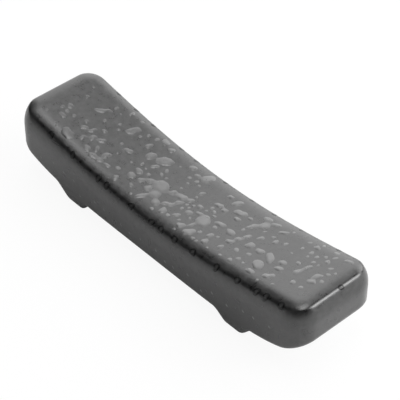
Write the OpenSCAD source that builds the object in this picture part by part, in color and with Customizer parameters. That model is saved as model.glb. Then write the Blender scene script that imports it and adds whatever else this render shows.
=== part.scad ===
// Chopstick rest: a saddle-shaped bar of glazed stoneware on two low feet,
// with drops of a paler second glaze on its top. X runs along the bar, Z is up,
// and the origin lies on the table, midway between the feet.

/* [Bar] */
// Length from end face to end face
length = 80; // [60:1:110]
// Width across the two long sides
width = 20.3; // [17:0.1:30]
// Radius of the four corners seen from above
corner_r = 4.7; // [4:0.1:7]
// Height of the saddle's lowest line above the table
saddle_h = 11.4; // [10.5:0.1:18]
// How much higher the top would be at the ends than at the saddle's lowest line, were its edge sharp
saddle_rise = 5; // [4:0.1:8]
// How much straighter the saddle runs near the ends than an even curve
saddle_ease = 0.25; // [0:0.01:0.4]
// How much higher the underside is at the ends than in the middle
belly_rise = 5.1; // [2:0.1:5.5]
// Power of the underside's curve: a higher one keeps the middle flat for longer
belly_power = 4.7; // [3:0.1:6]
// Radius of the slow roll from the saddle to the lip all round it
roll_r = 7.4; // [5:0.1:9]
// Turn of the surface over that roll, in degrees
roll_turn = 18; // [10:1:25]
// Radius of the tight lip
lip_r = 1.1; // [0.7:0.1:2]
// Slant of the surface just below the lip, in degrees
lip_turn = 60; // [45:1:70]
// Radius of the slow bulge from the lip to the upright wall
bulge_r = 7.4; // [5:0.1:9]
// Radius of the rounded bottom edge all round
bottom_edge_r = 1.4; // [0.8:0.1:2]

/* [Feet] */
// Height of the feet, from the table to the underside
foot_h = 2.3; // [1.2:0.1:3.5]
// Distance from each end face to the middle of the sole near it
foot_setback = 17.3; // [14:0.1:24]
// Length of each sole along the bar
sole_l = 3; // [2.4:0.2:8]
// How far each sole stops short of the long sides
sole_inset = 1.5; // [0.8:0.1:3]
// Lean of the foot's wall towards the middle of the bar, in degrees
inner_lean = 50; // [10:1:56]
// Lean of the foot's wall towards the end of the bar, in degrees
outer_lean = 50; // [10:1:56]
// Radius of the foot's upright corners
foot_corner_r = 1; // [0.6:0.1:1.1]

/* [Black glaze] */
// Thickness of the coat
glaze_t = 0.35; // [0.2:0.05:0.6]
// Height of the bare clay between the table and the coat's lower edge
bare_h = 0.3; // [0.2:0.1:1]

/* [Grey glaze] */
// Height of the large drops on the saddle
blotch_h = 0.2; // [0.1:0.02:0.4]
// Height of the small drops on the saddle
drop_h = 0.16; // [0.08:0.02:0.3]
// Number that picks one scatter of the specks
scatter_seed = 41; // [1:1:99]
// Length of the beads on the lip
bead_l = 1.2; // [0.6:0.1:1.4]
// Height of the beads
bead_h = 0.14; // [0.08:0.02:0.3]
// Diameter of the specks on the long sides
speck_d = 0.5; // [0.3:0.05:0.8]
// Height of the specks
speck_h = 0.06; // [0.03:0.01:0.12]
// Usual spacing of the specks
speck_pitch = 3.4; // [2:0.2:6]

/* [Hidden] */

half_l = length / 2;
half_w = width / 2;
foot_x = half_l - foot_setback;

// Steps round a corner, along a side, over each arc of the top edge, and over the bottom edge
corner_n = 6;
side_n = 30;
arc_n = 3;
bottom_n = 5;
half_n = 2 * corner_n + side_n + 1;
ring_n = 2 * half_n;
foot_fn = 32;

// Thickness of the thin plates that a foot is stretched between
plate_t = 0.01;
// Smallest corner radius that an inset outline keeps
least_r = 0.2;
// Step for measuring a slope
slope_step = 0.01;

// Half length and half width of the field inside the lip on which the hand-chosen places below lie
chosen_field = [38.4, 8.55];
// Large drops, chosen by hand: place along and across that field, length, width and turn in degrees
blotches = [
    [-28, 3, 3.4, 0.8, 45], [-32.6, -1.6, 1.3, 1, 30], [-31.7, -4.3, 1.5, 0.9, 0],
    [-26.7, -2.9, 1.4, 1, 60], [-25.1, -2.2, 1.5, 1, 60], [-23.6, -3.3, 1.6, 1.3, 50],
    [-24.9, -4.8, 1.3, 0.9, 80], [-22, -2.5, 1.3, 1.1, 30], [-23.7, -0.3, 1.2, 0.8, 10],
    [-27.5, -6.6, 2.9, 1.7, -10], [-20.9, -4.7, 1.7, 0.7, -55], [-22.3, -6, 1.5, 1.1, -20],
    [-20.1, -6.4, 1.6, 1, 20], [-18.4, -4.3, 1.6, 1.3, 60], [-18.4, -6.1, 1.2, 1, 0],
    [-20.4, 4.2, 2.6, 1.8, 60], [-24, 7, 1.4, 0.9, 90], [-14.2, 7.3, 1.7, 1.3, -50],
    [-11.8, 6.7, 1.3, 1, 40], [-15.4, 4, 1.6, 1.1, 80], [-13.1, 2.4, 2, 1.7, 60],
    [-10.2, 3.6, 3.1, 1.8, 35], [-10.5, 1.1, 1.5, 0.9, 50], [-16.9, 0, 1.9, 0.8, 30],
    [-11.5, -2, 1.7, 0.9, -5], [-11.5, -3.8, 1.7, 1.3, 35], [-8, -2.2, 1.5, 1.1, 30],
    [-9.3, -3.4, 1.5, 1, 80], [-5.5, -1.5, 3.4, 2.2, -10], [-4.6, -3.9, 1.8, 1.7, 0],
    [-6.7, -3.7, 1.5, 1.4, 0], [-6.1, -6.1, 2.2, 1, 65], [-3, -5.3, 1.6, 1.4, -30],
    [-2.7, -1, 1.3, 1.1, 60], [-5.4, 6.5, 1.3, 1.2, 0], [-3.2, 5.7, 1.2, 1, 20],
    [-1.1, 6.6, 2.8, 1.8, 80], [-0.7, -0.5, 2, 1.2, 20], [1.2, 0.1, 1.2, 1.1, 0],
    [0.1, -2.1, 1.6, 0.9, 55], [-1.1, -3.9, 2.1, 1, 38], [-0.4, -5.7, 1.7, 1.2, 40],
    [-16.5, -5.8, 1.2, 0.9, 20], [-13, -6.8, 1.8, 1, 80], [1.2, 2.8, 1.4, 1, 70],
    [3.7, 0.1, 1.2, 1.1, 0], [3.4, -2.6, 1.3, 1.2, 0], [2.3, -4.7, 1.4, 1, 70],
    [5.6, 6.2, 1.2, 0.9, 10], [7.9, 5.8, 2, 1.2, 50], [5.8, 3, 1.5, 1.2, 10], [7.6, 2.7, 1.2, 1.2, 0],
    [7.1, -2.2, 2.8, 2.6, -30], [4.9, -1.2, 1.2, 0.8, 0], [6.3, -4.5, 1.3, 0.9, 70],
    [5, -6, 1.4, 1.2, 30], [7.4, -6.2, 2.2, 1.6, 60], [11.4, -5.9, 1.2, 1, 30],
    [11, -4.2, 1.4, 1.3, 60], [10, -0.6, 2.2, 1.1, 0], [13.1, -0.8, 1.8, 1.1, -15],
    [10.4, 4.3, 2.3, 1.6, 15], [11.2, 2.6, 1.5, 0.9, 0], [15.5, 6.4, 1.5, 1.2, 0],
    [16.2, 4.6, 1.8, 1.6, 80], [14.7, 2.9, 1.9, 1.2, 60], [17.8, 6.3, 1.4, 1.1, 20],
    [16.3, 0.4, 1.5, 1.1, 70], [15.6, -1.3, 1.4, 1, 50], [14.8, -2.8, 1.3, 1.1, 20],
    [18.4, -1, 1.6, 1.5, 0], [18.4, 1.6, 1.3, 0.9, 40], [14.7, -4.9, 1.3, 0.9, 80],
    [20.4, 5.7, 1.8, 0.8, 45], [21, -1, 1.6, 1.2, 10], [23.8, -1.3, 2.7, 1.3, -52],
    [23.5, -4, 2.2, 1.7, -35], [23.7, -6.2, 1.6, 1, 0], [26.5, -0.8, 1.4, 1.2, 20],
    [27.2, -2.4, 1.4, 1.1, 10], [27.2, -5.1, 2.3, 1.1, 35], [28.2, 6.4, 1.2, 1, 20],
    [30.9, 1, 1.6, 0.9, 70], [30.4, -0.9, 1.5, 1.1, 80], [34, 0.2, 1.6, 1.3, 60],
    [34.2, -1.4, 1.4, 0.9, 0], [35.2, 7, 1.3, 0.8, 10]
];
// Small drops, chosen by hand: place along and across that field, and length
small_drops = [
    [-32.1, -2.9, 0.9], [-33.5, -2.9, 0.8], [-30.3, -2.6, 0.9], [-27.7, -1.5, 0.9], [-21.2, 7.2, 0.8],
    [-22.3, 2.1, 0.7], [-23.3, 3.3, 0.7], [-25.8, 1.5, 0.8], [-25.3, 5.2, 0.5], [-27, 5.6, 0.8],
    [-32.7, 2.8, 0.9], [-34, 5.5, 0.6], [-19.1, 0.2, 0.7], [-18.4, 4.3, 0.7], [-34.6, -6, 0.7],
    [-30.2, -7, 0.6], [-17.6, 5.8, 0.8], [-15.8, 6.4, 0.9], [-8.1, 2.1, 0.9], [-8, 0.7, 0.8],
    [-6.6, 0.7, 0.6], [-12.5, -0.3, 0.8], [-11.1, -0.6, 0.5], [-9.6, -1.2, 0.8], [-2.1, 4.5, 0.8],
    [-3.8, 4.2, 0.8], [-0.9, 4, 0.6], [-2.9, 2.9, 0.6], [-2.7, 1, 0.6], [-2.2, -6.9, 0.8],
    [-9.5, -5.7, 1], [-14.6, -4.6, 0.9], [-7.9, -7.2, 0.6], [-17.6, -2.2, 0.5], [-14.2, -1.6, 0.5],
    [-7.3, 4.9, 0.5], [1.2, 1.4, 0.7], [2.6, -0.6, 0.7], [4.7, -3.4, 0.6], [1.5, -1.3, 0.7],
    [2.4, -1.6, 0.6], [1.6, -2.7, 0.8], [1.2, -5.8, 0.8], [3.6, -5.2, 0.6], [5.5, 1.5, 0.8],
    [6.6, 1, 0.8], [7.5, 0.2, 0.7], [5.3, 0.2, 0.6], [8.9, -4.8, 0.9], [4.8, -7.5, 0.6],
    [9.2, -6.8, 0.8], [10.2, -6.9, 0.7], [12.3, -3.4, 0.7], [9.9, -1.9, 0.9], [12.8, 4.4, 0.9],
    [17.5, 3.5, 0.6], [14.2, 1.2, 0.8], [17.5, -3.6, 1], [18.6, -6.3, 0.9], [19.6, -5.1, 0.9],
    [21.1, -5.4, 0.6], [20.1, -3, 0.9], [19.9, 3.4, 0.8], [21.2, 2.7, 1.1], [21.7, 6.9, 0.5],
    [13.1, -6.8, 0.5], [16.3, -6.6, 0.6], [23, 3.5, 0.8], [28.7, 1, 0.9], [26.1, 6.6, 0.7],
    [26.2, 4.5, 0.7], [28.4, 4.6, 0.9], [28.6, 7.6, 0.6], [28.6, 3.4, 0.6], [30, 4.3, 0.8],
    [30.6, 2.8, 0.8], [31.9, 2.7, 0.6], [32, 7.5, 0.9], [32.8, 6.1, 0.8], [31.3, 5.3, 0.7],
    [32.5, 4.5, 1], [34.3, 3.4, 0.8], [35.1, 1.9, 0.8], [35.9, 2.9, 0.6], [35.6, -0.2, 0.8],
    [31.8, -3.5, 1], [33.9, -3.7, 0.8], [26.5, -7.1, 0.6], [25.7, 2.3, 0.5], [29.4, -6.2, 0.5]
];
// Places of the beads along the -Y edge and along the +Y edge, chosen by hand
bead_places = [
    [-29.5, -23, -15.3, -12.9, -5.7, 0.1, 2.8, 6.6, 11.6, 17.9, 23.4, 28.3, 30.6, 34.4],
    [-30.2, -24.8, -19.6, -11.3, -6.9, 1.4, 8.8, 14.7, 21.9, 31.2]
];
// Place across the bar of the one bead on the lip of the +X end
end_bead_y = 1.3;

// Sides of the outlines of the drops
blotch_n = 10;
drop_n = 8;
speck_n = 6;
// Share by which an outline wanders from its ellipse, in each of two waves round it
wander = 0.09;
// Turns of the first wave for each turn of the drop, so that no two outlines are alike
wave_turn = 7;
// Width of the small drops and of the beads seen from above, as a share of their length
drop_squash = 0.85;
bead_squash = 0.7;
// Height of a drop's shoulder, as a share of its height
shoulder = 0.75;
// Degrees from the turn of one small drop to that of the next
next_turn = 47;
// Place of the beads across the lip, as a share of the way from its lower border to its upper one
bead_place = 0.35;

// Colours as photographed
clay_color = [0.62, 0.55, 0.47];
black_color = [0.2, 0.2, 0.2];
grey_color = [0.58, 0.58, 0.58];

// Heights of the top and of the underside at a place along the bar
function along(x) = pow(x / half_l, 2);
function saddle_z(x) =
    saddle_h + saddle_rise * ((1 + saddle_ease) * along(x) - saddle_ease * pow(along(x), 2));
function belly_z(x) = foot_h + belly_rise * pow(abs(x) / half_l, belly_power);

// Way in from the outline and fall from the saddle where the top edge has turned by an angle:
// three arcs that meet smoothly, shrunk by the coat's thickness or not
function held(turn, from, to) = min(max(turn, from), to);
function edge_inset(turn, shrink) =
    (roll_r - shrink) * (sin(roll_turn) - sin(held(turn, 0, roll_turn)))
    + (lip_r - shrink) * (sin(lip_turn) - sin(held(turn, roll_turn, lip_turn)))
    + (bulge_r - shrink) * (1 - sin(held(turn, lip_turn, 90)));
function edge_fall(turn, shrink) =
    (roll_r - shrink) * (1 - cos(held(turn, 0, roll_turn)))
    + (lip_r - shrink) * (cos(roll_turn) - cos(held(turn, roll_turn, lip_turn)))
    + (bulge_r - shrink) * (cos(lip_turn) - cos(held(turn, lip_turn, 90)));

// Insets of the lip's two borders, and the whole fall of the edge
bulge_in = edge_inset(lip_turn, 0);
lip_in = edge_inset(roll_turn, 0);
whole_fall = edge_fall(90, 0);

// Turn of the top edge at a distance inside the outline
function edge_turn(inside) =
    inside < bulge_in ? asin(1 - max(inside, 0) / bulge_r)
    : inside < lip_in ? asin(sin(lip_turn) - (inside - bulge_in) / lip_r)
    : asin(max(sin(roll_turn) - (inside - lip_in) / roll_r, 0));

// Distance from a point of the plan to the outline
function inside(x, y) =
    let (past = [max(abs(x) - half_l + corner_r, 0), max(abs(y) - half_w + corner_r, 0)])
    min(past) > 0 ? corner_r - norm(past) : min(half_l - abs(x), half_w - abs(y));

// Height of the glazed top, its edge included
function top_z(x, y) = saddle_z(x) - edge_fall(edge_turn(inside(x, y)), 0);

// Upward direction of the glazed top
function top_normal(x, y) =
    let (slope_x = (top_z(x + slope_step, y) - top_z(x - slope_step, y)) / (2 * slope_step))
    let (slope_y = (top_z(x, y + slope_step) - top_z(x, y - slope_step)) / (2 * slope_step))
    let (up = [-slope_x, -slope_y, 1])
    up / norm(up);

// Point i of the plan's near half, inset by a distance
function half_point(i, inset) =
    let (a = half_l - inset, b = half_w - inset, r = max(corner_r - inset, least_r))
    let (turn = 90 / corner_n * (i <= corner_n ? i : i - corner_n - side_n))
    i <= corner_n ? [-(a - r) - r * cos(turn), -(b - r) - r * sin(turn)]
    : i < corner_n + side_n ? [2 * (a - r) * ((i - corner_n) / side_n - 0.5), -b]
    : [a - r + r * sin(turn), -(b - r) - r * cos(turn)];

// One level of the bar's near half, on the top edge or on the bottom edge, shrunk by the coat's thickness
function top_level(turn, shrink) = [
    for (i = [0 : half_n - 1])
        let (p = half_point(i, shrink + edge_inset(turn, shrink)))
        [p[0], p[1], saddle_z(p[0]) - shrink - edge_fall(turn, shrink)]
];
function bottom_level(turn, shrink) = [
    for (i = [0 : half_n - 1])
        let (r = bottom_edge_r - shrink, p = half_point(i, shrink + r * (1 - cos(turn))))
        [p[0], p[1], belly_z(p[0]) + shrink + r * (1 - sin(turn))]
];
function whole_ring(half) =
    concat(half, [for (i = [half_n - 1 : -1 : 0]) [half[i][0], -half[i][1], half[i][2]]]);

// Turns of the top edge at which its levels lie
edge_turns = [
    for (arc = [[0, roll_turn], [roll_turn, lip_turn], [lip_turn, 90]], k = [0 : arc_n - 1])
        arc[0] + (arc[1] - arc[0]) * k / arc_n,
    90
];

// Solid bar, at full size or shrunk to the clay under the coat
module bar(shrink) {
    levels = concat(
        [for (turn = edge_turns) top_level(turn, shrink)],
        [for (k = [0 : bottom_n]) bottom_level(90 * k / bottom_n, shrink)]
    );
    last = (len(levels) - 1) * ring_n;
    walls = [
        for (k = [0 : len(levels) - 2], i = [0 : ring_n - 1])
            let (a = k * ring_n + i, b = k * ring_n + (i + 1) % ring_n)
            each [[a, b, b + ring_n], [a, b + ring_n, a + ring_n]]
    ];
    caps = [
        for (i = [0 : half_n - 2])
            let (far = ring_n - 1 - i)
            each [
                [i, far, far - 1], [i, far - 1, i + 1],
                [last + i, last + i + 1, last + far - 1], [last + i, last + far - 1, last + far]
            ]
    ];
    polyhedron([for (level = levels) each whole_ring(level)], concat(walls, caps));
}

// Highest level that a foot reaches inside the bar
foot_top = belly_z(foot_x + sole_l + foot_h) + bottom_edge_r;

// One foot on the +X side, from a height up into the bar, at full size or shrunk to the clay
module foot(from_z, shrink) {
    hull()
        for (z = [from_z, foot_top - plate_t], across = [-1, 1], out = [-1, 1]) {
            lean = out < 0 ? inner_lean : outer_lean;
            reach = sole_l / 2 - foot_corner_r + z * tan(lean);
            reach_y = half_w - foot_corner_r - sole_inset * (1 - z / foot_top) - shrink;
            translate([foot_x + out * (reach - shrink), across * reach_y, z])
                cylinder(r = foot_corner_r, h = plate_t, $fn = foot_fn);
        }
}

module feet(from_z, shrink) {
    foot(from_z, shrink);
    mirror([1, 0, 0]) foot(from_z, shrink);
}

module stoneware_body() {
    color(clay_color) {
        bar(glaze_t);
        feet(0, glaze_t);
    }
}

module black_glaze() {
    color(black_color) difference() {
        union() {
            bar(0);
            feet(bare_h, 0);
        }
        bar(glaze_t);
        feet(0, glaze_t);
    }
}

// Outline of one drop: an ellipse whose radius wanders a little, at a share of its size
function outline(n, size, turn, share) = [
    for (j = [0 : n - 1])
        let (a = 360 * j / n)
        let (r = share * (1 + wander * sin(2 * a + wave_turn * turn) + wander * cos(3 * a - turn)))
        let (u = r * size[0] / 2 * cos(a), v = r * size[1] / 2 * sin(a))
        [u * cos(turn) - v * sin(turn), u * sin(turn) + v * cos(turn)]
];

// Faces of many drops, each a closed solid of a lower ring, an upper ring, and a pole under and over them
function drop_faces(count, n) = [
    for (d = [0 : count - 1], j = [0 : n - 1])
        let (low = (2 * n + 2) * d, high = low + n, under = high + n, over = under + 1, k = (j + 1) % n)
        each [
            [under, low + j, low + k], [over, high + k, high + j],
            [low + j, high + j, high + k], [low + j, high + k, low + k]
        ]
];

// Drops that lie on the glazed top: each is [x, y, length, width, turn]
module top_drops(drops, n, height) {
    function on_top(x, y, lift) = [x, y, top_z(x, y)] + lift * top_normal(x, y);
    points = [
        for (d = drops)
            let (size = [d[2], d[3]], share = 1 - 2 * height / min(size))
            each concat(
                [for (p = outline(n, size, d[4], 1)) on_top(d[0] + p[0], d[1] + p[1], 0)],
                [for (p = outline(n, size, d[4], share))
                    on_top(d[0] + p[0], d[1] + p[1], shoulder * height)],
                [on_top(d[0], d[1], 0), on_top(d[0], d[1], height)]
            )
    ];
    polyhedron(points, drop_faces(len(drops), n));
}

// The field inside the lip, and the large drops spread over it as chosen
field = [half_l - lip_in, half_w - lip_in];
spread = [field[0] / chosen_field[0], field[1] / chosen_field[1]];
placed_blotches = [
    for (b = blotches)
        [b[0] * spread[0], b[1] * spread[1], b[2] * min(spread), b[3] * min(spread), b[4]]
];

module saddle_blotches() {
    color(grey_color) top_drops(placed_blotches, blotch_n, blotch_h);
}

// Beads along the lip of both long edges, and one on the lip of the +X end
bead_in = bulge_in + bead_place * (lip_in - bulge_in);
beads = [
    for (across = [0, 1], x = bead_places[across])
        [x * spread[0], (2 * across - 1) * (half_w - bead_in), bead_l, bead_l * bead_squash, 0],
    [half_l - bead_in, end_bead_y * spread[1], bead_l, bead_l * bead_squash, 90]
];

module edge_beads() {
    color(grey_color) top_drops(beads, drop_n, bead_h);
}

// Small drops spread over the field as chosen, each turned on from the one before
placed_drops = [
    for (i = [0 : len(small_drops) - 1])
        let (d = small_drops[i], l = d[2] * min(spread))
        [d[0] * spread[0], d[1] * spread[1], l, l * drop_squash, next_turn * i]
];

module saddle_drops() {
    color(grey_color) top_drops(placed_drops, drop_n, drop_h);
}

// Specks on the upright part of both long sides, between the rounded edges
speck_cols = floor(2 * (half_l - corner_r) / speck_pitch);
speck_chance = rands(0, 1, 4 * speck_cols, scatter_seed);
specks = [
    for (i = [0 : speck_cols - 1], across = [0, 1])
        let (at = 4 * i + 2 * across)
        let (shift = (speck_pitch - 2 * speck_d) * (speck_chance[at] - 0.5))
        let (x = speck_pitch * (i - (speck_cols - 1) / 2) + shift)
        let (low = belly_z(x) + bottom_edge_r + speck_d, high = saddle_z(x) - whole_fall - speck_d)
        [x, low + (high - low) * speck_chance[at + 1], 2 * across - 1]
];

module side_specks() {
    function on_side(s, p, lift) = [s[0] + s[2] * p[0], s[2] * (half_w + lift), s[1] - p[1]];
    size = [speck_d, speck_d];
    share = 1 - 2 * speck_h / speck_d;
    points = [
        for (s = specks)
            each concat(
                [for (p = outline(speck_n, size, 0, 1)) on_side(s, p, 0)],
                [for (p = outline(speck_n, size, 0, share)) on_side(s, p, shoulder * speck_h)],
                [on_side(s, [0, 0], 0), on_side(s, [0, 0], speck_h)]
            )
    ];
    color(grey_color) polyhedron(points, drop_faces(len(specks), speck_n));
}

stoneware_body();
black_glaze();
saddle_blotches();
saddle_drops();
edge_beads();
side_specks();
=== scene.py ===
"""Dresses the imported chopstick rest: a black glazed stoneware bar with drops of grey glaze on its saddle.

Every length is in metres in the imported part's own frame: +X along the bar, +Y across it, the table at z = 0.
"""

import logging
import math
from dataclasses import dataclass, replace
from enum import Enum

import bpy
import numpy as np
from mathutils import Matrix, Quaternion, Vector


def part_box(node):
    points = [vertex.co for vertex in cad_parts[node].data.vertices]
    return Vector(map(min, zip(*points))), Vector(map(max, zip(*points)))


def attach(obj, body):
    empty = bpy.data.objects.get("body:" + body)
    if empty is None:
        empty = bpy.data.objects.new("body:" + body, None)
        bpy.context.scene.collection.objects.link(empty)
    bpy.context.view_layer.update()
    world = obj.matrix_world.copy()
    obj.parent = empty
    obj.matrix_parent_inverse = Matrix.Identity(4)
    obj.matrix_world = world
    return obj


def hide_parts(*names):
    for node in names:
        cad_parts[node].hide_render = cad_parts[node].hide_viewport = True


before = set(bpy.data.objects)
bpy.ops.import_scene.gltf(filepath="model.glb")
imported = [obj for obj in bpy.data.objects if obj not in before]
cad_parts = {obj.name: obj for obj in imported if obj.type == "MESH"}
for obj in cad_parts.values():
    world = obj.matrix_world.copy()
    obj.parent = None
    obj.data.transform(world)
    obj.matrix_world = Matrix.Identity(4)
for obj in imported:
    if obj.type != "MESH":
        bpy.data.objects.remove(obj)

LOG = logging.getLogger("chopstick_rest")
BODY = "root"
MM = 0.001
SHARP_ANGLE = math.radians(38)
FRONT_ANGLE = 1.5 * math.pi
SAME_CORNER = 0.001 * MM
EXPONENT_CAP = 60.0

OPAQUE = (1.0,)

Colour = tuple[float, float, float]


class Slot(Enum):
    """The record's material slots."""

    CLAY = "stoneware"
    BLACK = "black_glaze"
    GREY = "grey_glaze"


class Carrier(Enum):
    """The face of the bar that carries a set of drops."""

    SADDLE = "saddle"
    WALLS = "walls"


class SkinValue(Enum):
    """What the node group of the fired skin puts out."""

    RIPPLE = "Ripple"
    MOTTLE = "Mottle"


def smooth_step(share: np.ndarray) -> np.ndarray:
    """A step from 0 to 1 with level ends: 3 s squared less 2 s cubed, s held between 0 and 1."""
    held = np.clip(share, 0.0, 1.0)
    return held * held * (3.0 - 2.0 * held)


def grey(level: float) -> Colour:
    """A neutral colour."""
    return (level, level, level)


def cell_corners(grid: np.ndarray) -> tuple[np.ndarray, ...]:
    """The four corners of every cell of a grid, in order round the cell, as views of the grid."""
    return grid[:-1, :-1], grid[1:, :-1], grid[1:, 1:], grid[:-1, 1:]


def ring_faces(number: np.ndarray) -> np.ndarray:
    """Faces between closed rings of vertices, from a grid of their numbers with a row for each ring."""
    after = np.roll(number, -1, axis=1)
    return np.stack([number[1:], after[1:], after[:-1], number[:-1]], axis=-1).reshape(-1, 4)


def add_mesh(name: str, points: np.ndarray, faces: list[list[int]],
             finish: bpy.types.Material) -> bpy.types.Object:
    """Makes a smooth shaded object in the scene.

    Args:
        name: The object's name.
        points: Points, one row each.
        faces: Corners of each face, in order as seen from outside.
        finish: The object's material.

    Returns:
        The object.
    """
    mesh = bpy.data.meshes.new(name)
    mesh.from_pydata(points.tolist(), [], faces)
    mesh.polygons.foreach_set("use_smooth", np.ones(len(mesh.polygons), dtype=bool))
    mesh.materials.append(finish)
    item = bpy.data.objects.new(name, mesh)
    bpy.context.scene.collection.objects.link(item)
    return item


def add_piece(name: str, points: np.ndarray, faces: list[list[int]], finish: bpy.types.Material,
              node: str) -> bpy.types.Object:
    """Makes a piece that stands for a CAD node.

    Args:
        name: The piece's name.
        points: Points, one row each.
        faces: Corners of each face, in order as seen from outside.
        finish: The piece's material.
        node: The CAD node that the piece replaces.

    Returns:
        The new object, riding on the part's only body.
    """
    piece = add_mesh(name, points, faces, finish)
    piece.data.set_sharp_from_angle(angle=SHARP_ANGLE)
    piece.data.update()
    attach(piece, BODY)
    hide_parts(node)
    LOG.info("%s: %d faces, stands for %s", name, len(faces), node)
    return piece


def add_tone(piece: bpy.types.Object, tone: np.ndarray) -> None:
    """Stores a number for each vertex as the attribute tone, which the grey glaze reads."""
    layer = piece.data.attributes.new("tone", "FLOAT", "POINT")
    layer.data.foreach_set("value", np.ascontiguousarray(tone.ravel(), dtype=np.float32))


@dataclass(frozen=True)
class BarShape:
    """The bar's surface as formulas, at the outside or at a depth under it.

    The saddle rises from the middle with the square of x and eases towards the ends. The belly is flat and
    turns up with a high power of x. Each foot is a smooth step of the underside down to the table and up.
    """

    half_length: float
    half_width: float
    skin: float = 0.0
    corner_radius: float = 4.7 * MM
    saddle_height: float = 11.4 * MM
    saddle_rise: float = 5.0 * MM
    saddle_ease: float = 0.25
    belly_height: float = 2.3 * MM
    belly_rise: float = 5.1 * MM
    belly_power: float = 4.7
    roll_radius: float = 7.4 * MM
    roll_turn: float = math.radians(18)
    lip_radius: float = 1.1 * MM
    lip_turn: float = math.radians(60)
    bulge_radius: float = 7.4 * MM
    under_edge: float = 1.4 * MM
    foot_middle: float = 22.7 * MM
    sole_half: float = 1.5 * MM
    sole_inset: float = 1.5 * MM
    inner_run: float = 3.2 * MM
    outer_run: float = 3.8 * MM
    slope_step: float = 0.01 * MM
    steepest: float = math.radians(88)
    edge_table: int = 500
    foot_table: int = 400

    def saddle(self, x: np.ndarray) -> np.ndarray:
        """Height of the top without its edge: the middle height plus the eased square of x, less the skin.

        Args:
            x: Places along the bar.

        Returns:
            The heights.
        """
        share = (x / self.half_length) ** 2
        rise = (1.0 + self.saddle_ease) * share - self.saddle_ease * share**2
        return self.saddle_height + self.saddle_rise * rise - self.skin

    def belly(self, x: np.ndarray) -> np.ndarray:
        """Height of the outer underside without the feet."""
        return self.belly_height + self.belly_rise * np.abs(x / self.half_length) ** self.belly_power

    def foot_share(self, x: np.ndarray) -> np.ndarray:
        """How much of a foot there is: 1 on a sole, 0 clear of it, with a smooth step on either side.

        Args:
            x: Places along the bar.

        Returns:
            The shares.
        """
        from_middle = np.abs(x) - self.foot_middle
        half = self.sole_half - self.skin
        inner = smooth_step((from_middle + half + self.inner_run) / self.inner_run)
        outer = smooth_step((half + self.outer_run - from_middle) / self.outer_run)
        return np.minimum(inner, outer)

    def underside(self, x: np.ndarray) -> np.ndarray:
        """Height of the underside: the belly, brought down to the table under each foot."""
        return (self.belly(x) + self.skin) * (1.0 - self.foot_share(x))

    def edge_arcs(self, turn: np.ndarray) -> tuple[np.ndarray, np.ndarray]:
        """The top edge's profile, three arcs that meet smoothly: a slow roll, a tight lip and a slow bulge.

        Each arc adds its radius times the change of the sine to the way out, and of the cosine to the fall.

        Args:
            turn: Angle of the surface from level, from 0 on the saddle to a quarter turn on the side.

        Returns:
            Inset from the outline and fall from the saddle.
        """
        starts = (0.0, self.roll_turn, self.lip_turn, math.pi / 2)
        radii = (self.roll_radius, self.lip_radius, self.bulge_radius)
        inset, fall = 0.0 * turn, 0.0 * turn
        for radius, first, last in zip(radii, starts[:-1], starts[1:]):
            held = np.clip(turn, first, last)
            inset = inset + (radius - self.skin) * (math.sin(last) - np.sin(held))
            fall = fall + (radius - self.skin) * (math.cos(first) - np.cos(held))
        return inset, fall

    def edge_turn(self, inset: np.ndarray) -> np.ndarray:
        """The surface's angle from level at an inset from the side, from a fine table of the profile."""
        turn = np.linspace(self.steepest, 0.0, self.edge_table)
        return np.interp(inset, self.edge_arcs(turn)[0], turn)

    def edge_way(self) -> tuple[np.ndarray, np.ndarray]:
        """A fine table of the top edge's profile.

        Returns:
            Inset from the outline, and the way along the surface from the saddle down.
        """
        inset, fall = self.edge_arcs(np.linspace(0.0, self.steepest, self.edge_table))
        steps = np.hypot(np.diff(inset), np.diff(fall))
        return inset, np.concatenate([[0.0], np.cumsum(steps)])

    def inside(self, x: np.ndarray, y: np.ndarray) -> np.ndarray:
        """Distance from points of the plan to the outline, which is straight but for its round corners.

        Args:
            x: Places along the bar.
            y: Places across it.

        Returns:
            The distances.
        """
        past_x = np.maximum(np.abs(x) - self.half_length + self.corner_radius, 0.0)
        past_y = np.maximum(np.abs(y) - self.half_width + self.corner_radius, 0.0)
        straight = np.minimum(self.half_length - np.abs(x), self.half_width - np.abs(y))
        return np.where(past_x * past_y > 0.0, self.corner_radius - np.hypot(past_x, past_y), straight)

    def top(self, x: np.ndarray, y: np.ndarray) -> np.ndarray:
        """Height of the top with its edge: the saddle less the fall of the edge near the outline."""
        return self.saddle(x) - self.edge_arcs(self.edge_turn(self.inside(x, y)))[1]

    def top_normal(self, x: np.ndarray, y: np.ndarray) -> np.ndarray:
        """Outward direction of the top, from the differences of its height along x and y.

        Args:
            x: Places along the bar.
            y: Places across it.

        Returns:
            Unit vectors, along one more axis than the places.
        """
        step = self.slope_step
        slope_x = (self.top(x + step, y) - self.top(x - step, y)) / (2.0 * step)
        slope_y = (self.top(x, y + step) - self.top(x, y - step)) / (2.0 * step)
        normal = np.stack([-slope_x, -slope_y, np.ones_like(slope_x)], axis=-1)
        return normal / np.linalg.norm(normal, axis=-1, keepdims=True)

    def under(self, depth: float) -> "BarShape":
        """The same bar at a depth under its surface."""
        return replace(self, skin=depth)

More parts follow.
